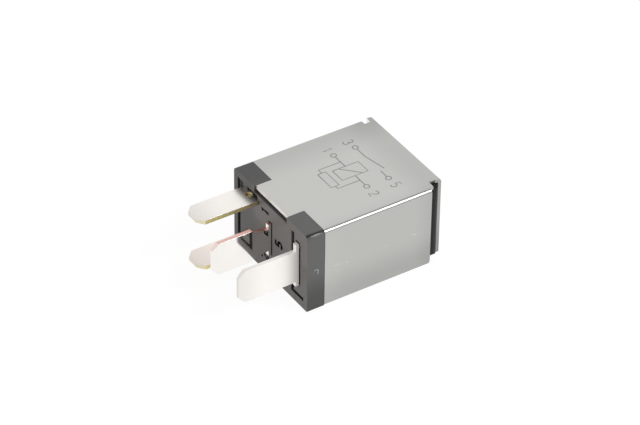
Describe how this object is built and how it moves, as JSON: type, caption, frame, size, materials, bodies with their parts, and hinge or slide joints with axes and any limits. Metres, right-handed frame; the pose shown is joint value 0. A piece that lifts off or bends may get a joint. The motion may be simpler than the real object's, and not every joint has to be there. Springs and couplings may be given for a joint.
{
  "type": "automotive relay",
  "caption": "Plug-in automotive relay with blade terminals, a folded metal cover and a black moulded base; its armature closes a normally open contact.",
  "frame": {"origin": "middle of the seating face, the flat front of the base that meets the socket", "axes": "+Y from the seating face into the body, blades towards -Y; +Z out of the marked face; +X across the width, towards terminal 3; the part lies on its underside, facing -Z"},
  "size_m": [0.0228, 0.039, 0.0154],
  "materials": {
    "cover_metal": "satin tinned sheet, laser marked",
    "black_plastic": "moulded, fine satin",
    "tinned_blade": "bright tin plate over brass, edges bare",
    "soft_iron": "nickel flashed",
    "copper": "enamelled winding wire",
    "bobbin_plastic": "natural glass-filled nylon",
    "spring_alloy": "rolled copper alloy strip",
    "contact_alloy": "silver tin oxide, matt",
    "rivet_steel": "zinc plated",
    "resistor_coat": "lacquered"
  },
  "bodies": {
    "case": {"cover": "cover_metal", "housing": "black_plastic", "base": "black_plastic", "terminal_1": "tinned_blade", "terminal_2": "tinned_blade", "terminal_3": "tinned_blade", "terminal_5": "tinned_blade", "yoke": "soft_iron", "core": "soft_iron", "bobbin": "bobbin_plastic", "winding": "copper", "coil_lead_1": "copper", "coil_lead_2": "copper", "fixed_contact": "contact_alloy", "yoke_rivets": "rivet_steel", "resistor_body": "resistor_coat", "resistor_lead_1": "tinned_blade", "resistor_lead_2": "tinned_blade"},
    "armature_set": {"armature": "soft_iron", "contact_spring": "spring_alloy", "armature_rivets": "rivet_steel", "moving_contact": "contact_alloy"}
  },
  "joints": [
    {"name": "armature_pivot", "type": "hinge", "parent": "case", "child": "armature_set", "pos_m": [0.008, 0.02263, 0], "axis": [0, 0, 1], "range_deg": [0, 3.2], "stiffness_Nm_per_rad": 0.02, "springref_deg": -4.58}
  ]
}
